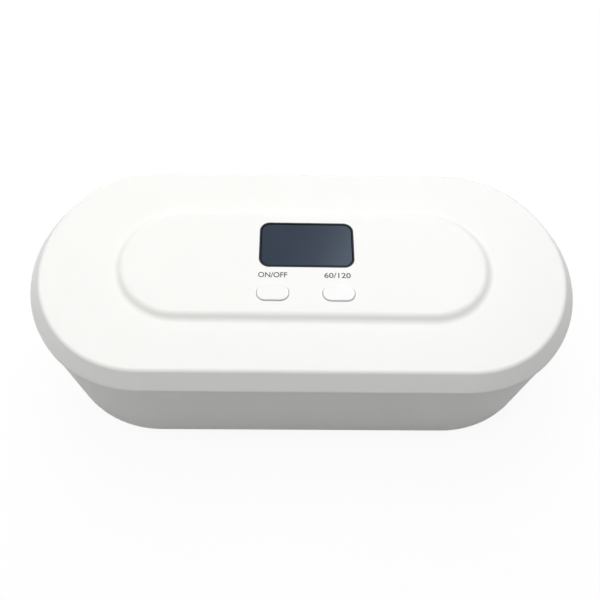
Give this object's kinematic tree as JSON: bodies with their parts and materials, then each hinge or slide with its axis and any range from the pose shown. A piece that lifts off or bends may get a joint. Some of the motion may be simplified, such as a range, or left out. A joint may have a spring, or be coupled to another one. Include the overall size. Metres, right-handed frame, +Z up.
{
  "type": "nail tool sterilizer",
  "caption": "Ultraviolet sterilizer box for nail tools: oblong tub with a hinged lid that carries the lamps, a display window and two sprung push buttons.",
  "frame": {"origin": "on the floor, under the centre of the closed box measured over the hinge knuckles", "axes": "+Z up, +X to the right seen from the front, +Y to the back, where the hinge is; the long side lies along X"},
  "size_m": [0.25, 0.1192, 0.0731],
  "materials": {
    "shell_white": "fine satin moulded plastic, white",
    "button_white": "satin moulded plastic, white",
    "liner_bright": "bright vacuum metallised plastic",
    "rack_white": "satin moulded plastic, white",
    "rubber_grey": "matte rubber, dark grey",
    "seal_black": "matte silicone, black",
    "steel_screw": "zinc plated steel",
    "steel_pin": "ground steel",
    "magnet_nickel": "nickel plated",
    "bezel_black": "gloss plastic, near black",
    "window_smoke": "smoked gloss acrylic, blue grey",
    "module_black": "matte epoxy, black",
    "board_green": "solder mask, green",
    "chip_black": "moulded epoxy, black",
    "port_steel": "stamped stainless steel",
    "battery_silver": "laminated foil pouch",
    "cover_white": "satin moulded plastic, white",
    "board_white": "solder mask, white",
    "emitter_yellow": "emitter package with a yellowish lens",
    "cover_clear": "clear polished strip",
    "plunger_black": "moulded nylon, black"
  },
  "bodies": {
    "base": {"base_shell": "shell_white", "chamber_liner": "liner_bright", "liner_screws": "steel_screw", "tool_rack": "rack_white", "rubber_feet": "rubber_grey", "base_magnets": "magnet_nickel", "sensor_magnet": "magnet_nickel", "hinge_pins": "steel_pin"},
    "lid": {"lid_shell": "shell_white", "window_bezel": "bezel_black", "display_window": "window_smoke", "display_module": "module_black", "control_board": "board_green", "board_chips": "chip_black", "board_screws": "steel_screw", "board_headers": "chip_black", "hall_sensor": "chip_black", "charge_port": "port_steel", "switch_housings": "chip_black", "battery_pack": "battery_silver", "lid_inner_cover": "cover_white", "lid_screws": "steel_screw", "lid_magnets": "magnet_nickel", "light_seal": "seal_black", "led_boards": "board_white", "uv_leds": "emitter_yellow", "led_covers": "cover_clear"},
    "power_button": {"power_button": "button_white", "power_plunger": "plunger_black"},
    "timer_button": {"timer_button": "button_white", "timer_plunger": "plunger_black"}
  },
  "joints": [
    {"name": "lid_hinge", "type": "hinge", "parent": "base", "child": "lid", "pos_m": [0, 0.0572, 0.0567], "axis": [-1, 0, 0], "range_deg": [0, 100]},
    {"name": "power_press", "type": "slide", "parent": "lid", "child": "power_button", "axis": [0, 0, -1], "range_m": [0, 0.0006], "stiffness_N_per_m": 2500, "springref_m": -0.0002},
    {"name": "timer_press", "type": "slide", "parent": "lid", "child": "timer_button", "axis": [0, 0, -1], "range_m": [0, 0.0006], "stiffness_N_per_m": 2500, "springref_m": -0.0002}
  ]
}
